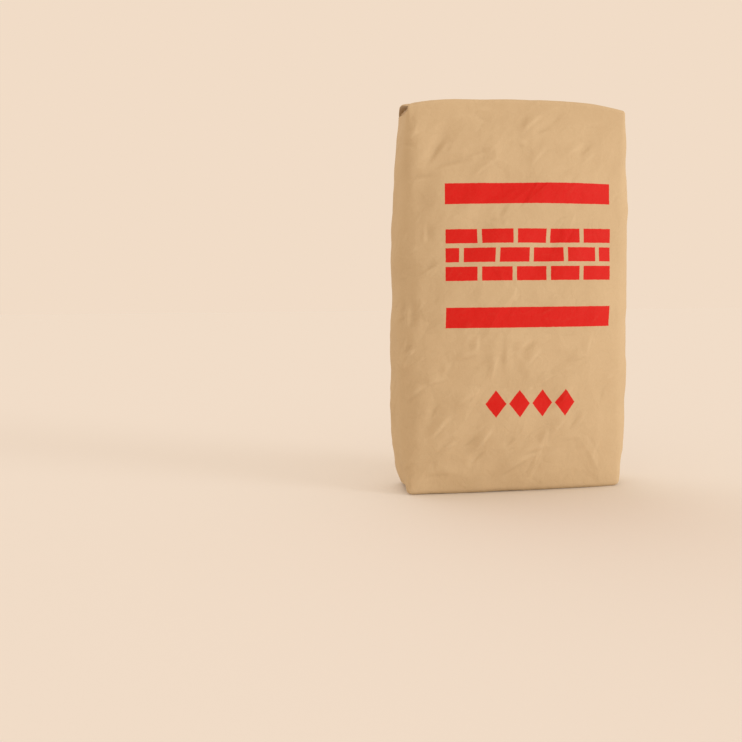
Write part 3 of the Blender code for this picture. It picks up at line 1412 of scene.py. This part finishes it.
class NodeSheet:
    """Adds nodes to one node tree and links them."""

    def __init__(self, tree: bpy.types.NodeTree) -> None:
        """Keeps the tree that the nodes go into."""
        self.tree = tree

    def add(self, kind: str, inputs: dict | None = None, **settings: object) -> bpy.types.Node:
        """Adds a node.

        Args:
            kind: The node's type name.
            inputs: Values or sockets for its inputs, by name or number.
            settings: The node's own properties.

        Returns:
            The node.
        """
        node = self.tree.nodes.new(kind)
        for name, value in settings.items():
            setattr(node, name, value)
        for name, value in (inputs or {}).items():
            self.feed(node.inputs[name], value)
        return node

    def feed(self, socket: Socket, value: object) -> None:
        """Links a socket, or sets its value.

        Args:
            socket: The input.
            value: Another node's output, or a plain value.
        """
        if isinstance(value, Socket):
            self.tree.links.new(value, socket)
        else:
            socket.default_value = value

    def effect(self, tree: bpy.types.NodeTree, **inputs: object) -> bpy.types.Node:
        """Adds a shared effect, with values or sockets for its inputs."""
        return self.add("ShaderNodeGroup", node_tree=tree, inputs=inputs)

    def math(self, operation: str, *values: object, clamp: bool = False) -> Socket:
        """Adds a Math node.

        Args:
            operation: What it does.
            values: Its inputs, as sockets or numbers.
            clamp: Whether the result stays between 0 and 1.

        Returns:
            Its output.
        """
        node = self.add("ShaderNodeMath", operation=operation, use_clamp=clamp)
        for socket, value in zip(node.inputs, values):
            self.feed(socket, value)
        return node.outputs[0]

    def vector(self, operation: str, *values: object) -> Socket:
        """Adds a Vector Math node.

        Args:
            operation: What it does.
            values: Its inputs, as sockets or triples.

        Returns:
            Its vector output.
        """
        node = self.add("ShaderNodeVectorMath", operation=operation)
        for socket, value in zip(node.inputs, values):
            self.feed(socket, value)
        return node.outputs[0]

    def mix(self, share: object, first: object, second: object) -> Socket:
        """Mixes two colours.

        Args:
            share: How much of the second.
            first: A colour or a socket.
            second: A colour or a socket.

        Returns:
            The mixed colour.
        """
        node = self.add("ShaderNodeMix", data_type="RGBA")
        for index, value in ((0, share), (6, first), (7, second)):
            self.feed(node.inputs[index], value)
        return node.outputs[2]

    def noise(
        self,
        place: Socket,
        scale: float | Socket,
        detail: float,
        roughness: float = 0.5,
        distortion: float = 0.0,
    ) -> bpy.types.Node:
        """Adds a noise texture.

        Args:
            place: Where it is read.
            scale: How fine it is.
            detail: How many finer layers it has.
            roughness: How strong those are.
            distortion: How far it is warped.

        Returns:
            Its node.
        """
        inputs = {"Vector": place, "Scale": scale, "Detail": detail}
        inputs |= {"Roughness": roughness, "Distortion": distortion}
        return self.add("ShaderNodeTexNoise", inputs)

    def bump(
        self, height: Socket, strength: float, distance: float, over: Socket | None = None
    ) -> Socket:
        """Adds a bump.

        Args:
            height: Its heights.
            strength: How much of it shows.
            distance: How high a height of 1 is.
            over: The way that the surface faces before it, if not its own.

        Returns:
            The way that the surface faces after it.
        """
        inputs = {"Height": height, "Strength": strength, "Distance": distance}
        if over is not None:
            inputs["Normal"] = over
        return self.add("ShaderNodeBump", inputs).outputs["Normal"]

    def place(self) -> Socket:
        """The place on the piece, in the object's own metres."""
        return self.add("ShaderNodeTexCoord").outputs["Object"]


def new_group(name: str, inputs: dict[str, tuple[str, object]], outputs: dict[str, str]) -> tuple:
    """Makes an empty node group.

    Args:
        name: Its name.
        inputs: For each input its socket type and its value, or None.
        outputs: For each output its socket type.

    Returns:
        The group, a sheet on it, its input node and its output node.
    """
    tree = bpy.data.node_groups.new(name, "ShaderNodeTree")
    for label, (kind, value) in inputs.items():
        socket = tree.interface.new_socket(label, in_out="INPUT", socket_type=kind)
        if value is not None:
            socket.default_value = value
    for label, kind in outputs.items():
        tree.interface.new_socket(label, in_out="OUTPUT", socket_type=kind)
    sheet = NodeSheet(tree)
    return tree, sheet, sheet.add("NodeGroupInput"), sheet.add("NodeGroupOutput")


def fibre_group() -> bpy.types.NodeTree:
    """Paper fibres: short pale and dark strands, mostly along the paper's run.

    Returns:
        A group from a place and a scale to a value and a height.
    """
    tree, sheet, given, result = new_group(
        "paper_fibres",
        {"Vector": ("NodeSocketVector", None), "Scale": ("NodeSocketFloat", FIBRE_SCALE)},
        {"Value": "NodeSocketFloat", "Height": "NodeSocketFloat"},
    )
    place, scale = given.outputs["Vector"], given.outputs["Scale"]
    drawn_out = sheet.vector("MULTIPLY", place, (1.0, 1.0, 0.22))
    strands = sheet.noise(drawn_out, scale, detail=4.0, roughness=0.62, distortion=0.8)
    pulp = sheet.noise(place, scale, detail=2.0)
    value = sheet.math("ADD", strands.outputs["Fac"], pulp.outputs["Fac"])
    sheet.feed(result.inputs["Value"], sheet.math("MULTIPLY", value, 0.5))
    sheet.feed(result.inputs["Height"], strands.outputs["Fac"])
    return tree


def cloud_group() -> bpy.types.NodeTree:
    """Soft blotches, as pulp, dust and handling leave them.

    Returns:
        A group from a place, a scale and a contrast to a value about 0.5.
    """
    tree, sheet, given, result = new_group(
        "soft_clouds",
        {
            "Vector": ("NodeSocketVector", None),
            "Scale": ("NodeSocketFloat", 18.0),
            "Contrast": ("NodeSocketFloat", 1.0),
        },
        {"Value": "NodeSocketFloat"},
    )
    place, scale = given.outputs["Vector"], given.outputs["Scale"]
    noise = sheet.noise(place, scale, detail=5.0, roughness=0.55)
    centred = sheet.math("SUBTRACT", noise.outputs["Fac"], 0.5)
    spread = sheet.math("MULTIPLY", centred, given.outputs["Contrast"])
    sheet.feed(result.inputs["Value"], sheet.math("ADD", spread, 0.5, clamp=True))
    return tree


@dataclass(frozen=True)
class Effects:
    """The node groups that several finishes share.

    Attributes:
        fibres: Paper fibres.
        clouds: Soft blotches.
    """

    fibres: bpy.types.NodeTree
    clouds: bpy.types.NodeTree


@dataclass(frozen=True)
class Print:
    """The red print on the front: two bars, a band of bricks between them and a row of lozenges.

    Attributes:
        middle: Where its middle lies across the front.
        width: How wide the bars and the bricks are.
        lean: How much it rises to the right at the upper bar, as a share of the way across.
        bar_height: How tall a bar is.
        top_bar: How high the middle of the upper bar lies.
        low_bar: How high that of the lower bar lies.
        band_middle: How high that of the bricks lies.
        band_height: How tall the bricks are together.
        courses: How many courses they have.
        bricks: How many bricks a course has.
        joint: How wide the joints are.
        row_middle: How high the middle of the lozenges lies.
        row_width: How wide their row is.
        row_height: How tall it is.
        lozenges: How many there are.
        lozenge_half: Half the width of one, as a share of the way from one to the next.
        edge: How far the ink fades at its edges.
        wobble: How far those edges stray.
        wobble_scale: How finely they do.
    """

    middle: float = 0.011
    width: float = 0.272
    lean: float = 0.012
    bar_height: float = 0.0325
    top_bar: float = 0.4743
    low_bar: float = 0.2823
    band_middle: float = 0.3796
    band_height: float = 0.0805
    courses: int = 3
    bricks: int = 5
    joint: float = 0.0065
    row_middle: float = 0.1466
    row_width: float = 0.151
    row_height: float = 0.044
    lozenges: int = 4
    lozenge_half: float = 0.45
    edge: float = 0.0005
    wobble: float = 0.0005
    wobble_scale: float = 260.0

    def mask(self, sheet: NodeSheet, place: Socket) -> Socket:
        """Where the ink lies.

        Args:
            sheet: The material's nodes.
            place: The place on the paper.

        Returns:
            1 on the ink and 0 beside it.
        """
        noise = sheet.noise(place, self.wobble_scale, detail=2.0)
        stray = sheet.vector("SUBTRACT", noise.outputs["Color"], (0.5, 0.5, 0.5))
        stray = sheet.vector("MULTIPLY", stray, (2 * self.wobble,) * 3)
        moved = sheet.vector("ADD", place, stray)
        parts = sheet.add("ShaderNodeSeparateXYZ", {0: moved})
        x = sheet.math("SUBTRACT", parts.outputs["X"], self.middle)
        z = self.level(sheet, x, parts.outputs["Z"])
        shown = self.box(sheet, x, z, self.top_bar, self.width, self.bar_height)
        low = self.box(sheet, x, z, self.low_bar, self.width, self.bar_height)
        for part in (low, self.brick_band(sheet, x, z), self.lozenge_row(sheet, x, z)):
            shown = sheet.math("MAXIMUM", shown, part)
        front = sheet.math("LESS_THAN", parts.outputs["Y"], 0.0)
        return sheet.math("MULTIPLY", shown, front)

    def level(self, sheet: NodeSheet, x: Socket, z: Socket) -> Socket:
        """The height in the print, which rises to the right more and more above its low bar.

        Args:
            sheet: The material's nodes.
            x: The place across, from the print's middle.
            z: The height on the sack.

        Returns:
            The height in the print.
        """
        above = sheet.math("SUBTRACT", z, self.low_bar)
        share = sheet.math("DIVIDE", above, self.top_bar - self.low_bar, clamp=True)
        rise = sheet.math("MULTIPLY", sheet.math("MULTIPLY", share, x), self.lean)
        return sheet.math("SUBTRACT", z, rise)

    def box(
        self, sheet: NodeSheet, x: Socket, z: Socket, height: float, wide: float, tall: float
    ) -> Socket:
        """An upright rectangle with its middle at x 0.

        Args:
            sheet: The material's nodes.
            x: The place across.
            z: The height.
            height: The rectangle's middle.
            wide: Its width.
            tall: Its height.

        Returns:
            Its mask.
        """
        sides = []
        for value, half in ((x, wide / 2), (sheet.math("SUBTRACT", z, height), tall / 2)):
            inside = sheet.math("SUBTRACT", half, sheet.math("ABSOLUTE", value))
            sides.append(sheet.math("DIVIDE", inside, self.edge, clamp=True))
        return sheet.math("MULTIPLY", *sides)

    def brick_band(self, sheet: NodeSheet, x: Socket, z: Socket) -> Socket:
        """Courses of bricks, each shifted by half a brick.

        Args:
            sheet: The material's nodes.
            x: The place across, from the band's middle.
            z: The height.

        Returns:
            Its mask.
        """
        pitch = (self.width + self.joint) / self.bricks
        rise = (self.band_height + self.joint) / self.courses
        low = self.band_middle - self.band_height / 2
        up = sheet.math("DIVIDE", sheet.math("SUBTRACT", z, low), rise)
        odd = sheet.math("MODULO", sheet.math("FLOOR", up), 2.0)
        shift = sheet.math("MULTIPLY_ADD", odd, pitch / 2, self.width / 2)
        along = sheet.math("DIVIDE", sheet.math("ADD", x, shift), pitch)
        masks = []
        for value, size in ((along, pitch), (up, rise)):
            part = sheet.math("MULTIPLY", sheet.math("FRACT", value), size)
            left = sheet.math("DIVIDE", part, self.edge, clamp=True)
            right = sheet.math("SUBTRACT", size - self.joint, part)
            masks += [left, sheet.math("DIVIDE", right, self.edge, clamp=True)]
        shown = self.box(sheet, x, z, self.band_middle, self.width, self.band_height)
        for mask in masks:
            shown = sheet.math("MULTIPLY", shown, mask)
        return shown

    def lozenge_row(self, sheet: NodeSheet, x: Socket, z: Socket) -> Socket:
        """A short row of lozenges, point to point.

        Args:
            sheet: The material's nodes.
            x: The place across, from the row's middle.
            z: The height.

        Returns:
            Its mask.
        """
        pitch = self.row_width / self.lozenges
        half_wide = self.lozenge_half * pitch
        along = sheet.math("DIVIDE", sheet.math("ADD", x, self.row_width / 2), pitch)
        centred = sheet.math("SUBTRACT", sheet.math("FRACT", along), 0.5)
        sideways = sheet.math("ABSOLUTE", sheet.math("MULTIPLY", centred, pitch / half_wide))
        off = sheet.math("SUBTRACT", z, self.row_middle)
        upward = sheet.math("ABSOLUTE", sheet.math("DIVIDE", off, self.row_height / 2))
        inside = sheet.math("SUBTRACT", 1.0, sheet.math("ADD", sideways, upward))
        shown = sheet.math("DIVIDE", inside, self.edge / half_wide, clamp=True)
        within = self.box(sheet, x, z, self.row_middle, self.row_width, self.row_height)
        return sheet.math("MULTIPLY", shown, within)


def new_material(name: str) -> tuple[bpy.types.Material, NodeSheet, bpy.types.Node]:
    """Makes a material with one Principled shader.

    Args:
        name: Its name.

    Returns:
        The material, a sheet on its nodes and its shader.
    """
    material = bpy.data.materials.new(name)
    material.use_nodes = True
    sheet = NodeSheet(material.node_tree)
    return material, sheet, material.node_tree.nodes["Principled BSDF"]


@dataclass(frozen=True)
class KraftPaper:
    """Brown kraft paper, with the print on its front.

    Attributes:
        effects: The shared effects.
        ink: The print.
        pale: The paper's palest parts.
        dark: Its darkest parts.
        worn_highlight: The colour of crests that are rubbed bare, made lighter still as a painted
            highlight on the crests.
        red: The ink.
        roughness: How matte the paper is.
        ink_roughness: How matte the ink is.
        fibre_roughness: How much more matte the palest fibres are.
        gloss: The strength of its reflections.
        cloud_scale: How fine its blotches are.
        fibre_share: How much of its tone the fibres give; the blotches give the rest.
        tones: The tones at which it is darkest and palest.
        crest_wear_and_highlight: How far a full crest takes that colour: partly rubbed wear, partly
            painted highlight.
        valley_painted_shade: How far a full valley darkens, as painted shade in the creases.
        painted_shade_tone: The brightness of that painted shade, as a share of dark's.
        cover: How much of the paper the ink hides between the fibres.
        fibre_cover: How much more it hides on them.
        ink_wear: How much ink a rubbed crest loses.
    """

    effects: Effects
    ink: Print
    pale: Colour = (0.640, 0.490, 0.305)
    dark: Colour = (0.575, 0.432, 0.262)
    worn_highlight: Colour = (0.700, 0.550, 0.355)
    red: Colour = (0.67, 0.006, 0.005)
    roughness: float = 0.80
    ink_roughness: float = 0.62
    fibre_roughness: float = 0.08
    gloss: float = 0.15
    cloud_scale: float = 14.0
    fibre_share: float = 0.6
    tones: tuple[float, float] = (0.36, 0.64)
    crest_wear_and_highlight: float = 0.18
    valley_painted_shade: float = 0.20
    painted_shade_tone: float = 0.8
    cover: float = 0.92
    fibre_cover: float = 0.12
    ink_wear: float = 0.15

    def material(self) -> bpy.types.Material:
        """Builds the material.

        Returns:
            It.
        """
        made, sheet, shader = new_material("kraft_paper_printed")
        place = sheet.place()
        fibres = sheet.effect(self.effects.fibres, Vector=place, Scale=FIBRE_SCALE)
        ridge = sheet.add("ShaderNodeAttribute", attribute_name="ridge").outputs["Fac"]
        # crest share: rubbed wear of the paper and its ink, and a painted highlight on the crests
        crest = sheet.math("MULTIPLY", ridge, self.crest_wear_and_highlight, clamp=True)
        inked = self.inked(sheet, place, fibres.outputs["Value"], crest)
        paper = self.bare(sheet, place, fibres.outputs["Value"], ridge, crest)
        sheet.feed(shader.inputs["Base Color"], sheet.mix(inked, paper, (*self.red, 1)))
        drier = self.roughness - self.ink_roughness
        rough = sheet.math("MULTIPLY_ADD", inked, -drier, self.roughness)
        rough = sheet.math("MULTIPLY_ADD", fibres.outputs["Value"], self.fibre_roughness, rough)
        sheet.feed(shader.inputs["Roughness"], rough)
        shader.inputs["Specular IOR Level"].default_value = self.gloss
        relief = self.relief(sheet, place, fibres.outputs["Height"])
        sheet.feed(shader.inputs["Normal"], relief)
        return made

    def bare(
        self, sheet: NodeSheet, place: Socket, fibres: Socket, ridge: Socket, crest: Socket
    ) -> Socket:
        """The paper's colour without the ink.

        Args:
            sheet: The material's nodes.
            place: The place on the paper.
            fibres: The fibres' value.
            ridge: 1 on a full crest and -1 in a full valley.
            crest: How far the crests are rubbed and lightened as painted highlight.

        Returns:
            The colour.
        """
        clouds = sheet.effect(
            self.effects.clouds, Vector=place, Scale=self.cloud_scale, Contrast=1.0
        )
        rest = 1 - self.fibre_share
        tone = sheet.math("MULTIPLY", fibres, self.fibre_share)
        tone = sheet.math("MULTIPLY_ADD", clouds.outputs["Value"], rest, tone)
        low, high = self.tones
        ramp = sheet.add("ShaderNodeMapRange", {"Value": tone, "From Min": low, "From Max": high})
        paper = sheet.mix(ramp.outputs[0], (*self.dark, 1), (*self.pale, 1))
        # painted highlight: crests lighter, partly as rubbed paper
        paper = sheet.mix(crest, paper, (*self.worn_highlight, 1))
        # painted shade: the valleys of the folds are darkened towards a dim copy of dark
        valley = sheet.math("MULTIPLY", ridge, -self.valley_painted_shade, clamp=True)
        return sheet.mix(valley, paper, (*(self.painted_shade_tone * part for part in self.dark), 1))

    def inked(self, sheet: NodeSheet, place: Socket, fibres: Socket, crest: Socket) -> Socket:
        """How much ink lies on the paper.

        Args:
            sheet: The material's nodes.
            place: The place on the paper.
            fibres: The fibres' value.
            crest: How far the crests are rubbed, a share that also lightens them as painted
                highlight.

        Returns:
            The share.
        """
        inked = self.ink.mask(sheet, place)
        cover = sheet.math("MULTIPLY_ADD", fibres, self.fibre_cover, self.cover, clamp=True)
        rubbed = sheet.math("MULTIPLY_ADD", crest, -self.ink_wear, 1.0)
        return sheet.math("MULTIPLY", sheet.math("MULTIPLY", inked, cover), rubbed)

    @staticmethod
    def relief(sheet: NodeSheet, place: Socket, fibres: Socket) -> Socket:
        """The finest creases and the fibres, as bumps.

        Args:
            sheet: The material's nodes.
            place: The place on the paper.
            fibres: The fibres' height.

        Returns:
            The way that the paper faces.
        """
        waves = sheet.noise(place, scale=42.0, detail=2.0, roughness=0.45, distortion=0.6)
        creased = sheet.math("ABSOLUTE", sheet.math("SUBTRACT", waves.outputs["Fac"], 0.5))
        creases = sheet.bump(creased, strength=0.5, distance=3 * MM)
        return sheet.bump(fibres, strength=0.25, distance=0.2 * MM, over=creases)


@dataclass(frozen=True)
class SleevePaper:
    """The plainer, dustier kraft of the valve sleeve, darkened further in as painted shade.

    Attributes:
        effects: The shared effects.
        pale: The paper's paler fibres.
        dark: Its darker ones.
        dust: The cement dust near the mouth.
        inside: The colour further in: paper without dust, darkened as painted shade inside the
            mouth.
        dust_and_shade_from: Where along X, going in, the dust begins to thin out and the painted
            shade begins.
        dust_and_shade_reach: How much further in the dust is gone and the painted shade is full.
        dust_cover: How much of the paper the thickest dust hides.
        roughness: How matte it is at least.
        dust_roughness: How much more matte the thickest dust is.
        gloss: The strength of its reflections.
    """

    effects: Effects
    pale: Colour = (0.60, 0.43, 0.26)
    dark: Colour = (0.47, 0.33, 0.19)
    dust: Colour = (0.55, 0.49, 0.41)
    inside: Colour = (0.36, 0.21, 0.08)
    dust_and_shade_from: float = -0.1785
    dust_and_shade_reach: float = 0.012
    dust_cover: float = 0.6
    roughness: float = 0.82
    dust_roughness: float = 0.1
    gloss: float = 0.3

    def material(self) -> bpy.types.Material:
        """Builds the material.

        Returns:
            It.
        """
        made, sheet, shader = new_material("sleeve_paper_dusty")
        place = sheet.place()
        fibres = sheet.effect(self.effects.fibres, Vector=place, Scale=FIBRE_SCALE)
        clouds = sheet.effect(self.effects.clouds, Vector=place, Scale=90.0, Contrast=2.2)
        paper = sheet.mix(fibres.outputs["Value"], (*self.dark, 1), (*self.pale, 1))
        dusty = sheet.math("MULTIPLY", clouds.outputs["Value"], self.dust_cover)
        outer = sheet.mix(dusty, paper, (*self.dust, 1))
        # painted shade: further into the mouth the dust thins out and the sleeve darkens towards
        # the inside colour
        along = sheet.add("ShaderNodeSeparateXYZ", {"Vector": place}).outputs["X"]
        offset = -self.dust_and_shade_from / self.dust_and_shade_reach
        shade_inwards = sheet.math("MULTIPLY_ADD", along, 1 / self.dust_and_shade_reach, offset, clamp=True)
        sheet.feed(shader.inputs["Base Color"], sheet.mix(shade_inwards, outer, (*self.inside, 1)))
        clouded = clouds.outputs["Value"]
        rough = sheet.math("MULTIPLY_ADD", clouded, self.dust_roughness, self.roughness)
        sheet.feed(shader.inputs["Roughness"], rough)
        shader.inputs["Specular IOR Level"].default_value = self.gloss
        relief = sheet.bump(fibres.outputs["Height"], strength=0.3, distance=0.2 * MM)
        sheet.feed(shader.inputs["Normal"], relief)
        return made


@dataclass(frozen=True)
class CementPowder:
    """Dry grey cement powder, caked where the paper pressed it.

    Attributes:
        effects: The shared effects.
        pale: The palest grains.
        dark: The darkest.
        grain_share: How much of the tone the grains give; the blotches give the rest.
        roughness: How matte it is at least.
        grain_roughness: How much more matte the palest grains are.
        gloss: The strength of its reflections.
    """

    effects: Effects
    pale: Colour = (0.45, 0.45, 0.43)
    dark: Colour = (0.27, 0.27, 0.26)
    grain_share: float = 0.5
    roughness: float = 0.92
    grain_roughness: float = 0.05
    gloss: float = 0.2

    def material(self) -> bpy.types.Material:
        """Builds the material.

        Returns:
            It.
        """
        made, sheet, shader = new_material("cement_powder_dry")
        place = sheet.place()
        clouds = sheet.effect(self.effects.clouds, Vector=place, Scale=60.0, Contrast=1.8)
        grain = sheet.noise(place, scale=2400.0, detail=3.0)
        rest = 1 - self.grain_share
        tone = sheet.math("MULTIPLY", grain.outputs["Fac"], self.grain_share)
        tone = sheet.math("MULTIPLY_ADD", clouds.outputs["Value"], rest, tone)
        colour = sheet.mix(tone, (*self.dark, 1), (*self.pale, 1))
        sheet.feed(shader.inputs["Base Color"], colour)
        rough = sheet.math("MULTIPLY_ADD", tone, self.grain_roughness, self.roughness)
        sheet.feed(shader.inputs["Roughness"], rough)
        shader.inputs["Specular IOR Level"].default_value = self.gloss
        relief = sheet.bump(tone, strength=0.5, distance=0.8 * MM)
        sheet.feed(shader.inputs["Normal"], relief)
        return made


@dataclass(frozen=True)
class StudioFloor:
    """A plain pale floor that runs out of sight.

    Attributes:
        colour: Its colour.
        radius: How far it runs.
        sides: How many sides its rim has.
        roughness: How matte it is.
    """

    colour: Colour = (0.858, 0.834, 0.803)
    radius: float = 40.0
    sides: int = 128
    roughness: float = 0.95

    def build(self) -> bpy.types.Object:
        """Builds the floor.

        Returns:
            It.
        """
        made, _, shader = new_material("studio_floor")
        shader.inputs["Base Color"].default_value = (*self.colour, 1)
        shader.inputs["Roughness"].default_value = self.roughness
        shader.inputs["Specular IOR Level"].default_value = 0.0
        bm = bmesh.new()
        bmesh.ops.create_circle(bm, cap_ends=True, segments=self.sides, radius=self.radius)
        floor = new_piece("studio_floor", bm, made)
        return floor


@dataclass(frozen=True)
class SoftLight:
    """A broad soft light, as far away as a studio's large window.

    Attributes:
        name: Its name.
        azimuth: Where it stands round the sack, from the front to the right.
        elevation: How high it stands.
        spread: How wide it looks from the sack.
        power: Its strength.
        distance: How far from the sack's foot it hangs.
    """

    name: str
    azimuth: float
    elevation: float
    spread: float
    power: float
    distance: float = 3.0

    def build(self) -> bpy.types.Object:
        """Hangs the light.

        Returns:
            It.
        """
        data = bpy.data.lights.new(self.name, "SUN")
        data.angle = math.radians(self.spread)
        data.energy = self.power
        light = bpy.data.objects.new(self.name, data)
        turn, rise = math.radians(self.azimuth), math.radians(self.elevation)
        back = Vector(
            (math.sin(turn) * math.cos(rise), -math.cos(turn) * math.cos(rise), math.sin(rise))
        )
        light.location = back * self.distance
        light.rotation_mode = "QUATERNION"
        light.rotation_quaternion = (-back).to_track_quat("-Z", "Y")
        bpy.context.scene.collection.objects.link(light)
        return light


@dataclass(frozen=True)
class Camera:
    """The photograph's viewpoint: a little left of the front's middle, at the belly's height.

    Attributes:
        distance: How far it stands from the sack's middle.
        azimuth: How far round to the left it stands, in degrees, as all its angles are.
        height: How high up it is.
        yaw: How far to the right of the sack's middle it looks, or to the left below 0.
        pitch: How far down it looks.
        roll: How far it is tipped.
        lens: Its focal length in mm.
        sensor: The width of its picture plane in mm.
        clip: The nearest and the farthest that it sees.
    """

    distance: float = 1.4074
    azimuth: float = 18.37
    height: float = 0.3043
    yaw: float = -9.32
    pitch: float = 4.56
    roll: float = -0.56
    lens: float = 40.43
    sensor: float = 36.0
    clip: tuple[float, float] = (0.05, 100.0)

    def build(self) -> bpy.types.Object:
        """Sets the camera up and makes it the scene's.

        Returns:
            The camera.
        """
        data = bpy.data.cameras.new("camera")
        data.lens = self.lens
        data.sensor_width = self.sensor
        data.clip_start, data.clip_end = self.clip
        camera = bpy.data.objects.new("camera", data)
        bpy.context.scene.collection.objects.link(camera)
        azimuth = math.radians(self.azimuth)
        place = Vector((-math.sin(azimuth), -math.cos(azimuth), 0)) * self.distance
        place.z = self.height
        heading = Matrix.Rotation(-math.radians(self.azimuth + self.yaw), 4, "Z")
        tilt = Matrix.Rotation(math.radians(90 - self.pitch), 4, "X")
        roll = Matrix.Rotation(math.radians(self.roll), 4, "Z")
        camera.matrix_world = Matrix.Translation(place) @ heading @ tilt @ roll
        bpy.context.scene.camera = camera
        return camera


@dataclass(frozen=True)
class Studio:
    """The floor, the lights, the pale surroundings and the camera.

    Attributes:
        floor: The floor.
        camera: The camera.
        lights: The lights.
        surroundings: The colour of the light from all round.
        strength: The strength of that light.
    """

    floor: StudioFloor = StudioFloor()
    camera: Camera = Camera()
    lights: tuple[SoftLight, ...] = (
        SoftLight("key_light", 55, 5, 24, 1.6),
        SoftLight("back_light", 200, 50, 60, 0.4),
    )
    surroundings: Colour = (0.880, 0.716, 0.570)
    strength: float = 1.0

    def build(self) -> None:
        """Builds all of it."""
        self.floor.build()
        self.camera.build()
        for light in self.lights:
            light.build()
        world = bpy.data.worlds.new("studio_world")
        world.use_nodes = True
        background = world.node_tree.nodes["Background"]
        background.inputs["Color"].default_value = (*self.surroundings, 1)
        background.inputs["Strength"].default_value = self.strength
        bpy.context.scene.world = world
        bpy.context.scene.view_settings.view_transform = "Standard"


def main() -> None:
    """Builds the sack and its studio."""
    logging.basicConfig(level=logging.INFO, format="%(name)s: %(message)s")
    skin = SackSkin(SackForm(), Crumples(), EndFlaps(), BackSeam(), SideTuck(), ValveMouth())
    effects = Effects(fibre_group(), cloud_group())
    makers = (
        SackBody(skin, KraftPaper(effects, Print())),
        ValveSleeve(skin, SleevePaper(effects)),
        CementCore(skin, CementPowder(effects)),
    )
    for maker in makers:
        piece = maker.build()
        log.info("%s: %d faces", piece.name, len(piece.data.polygons))
    Studio().build()


if __name__ == "__main__":
    main()
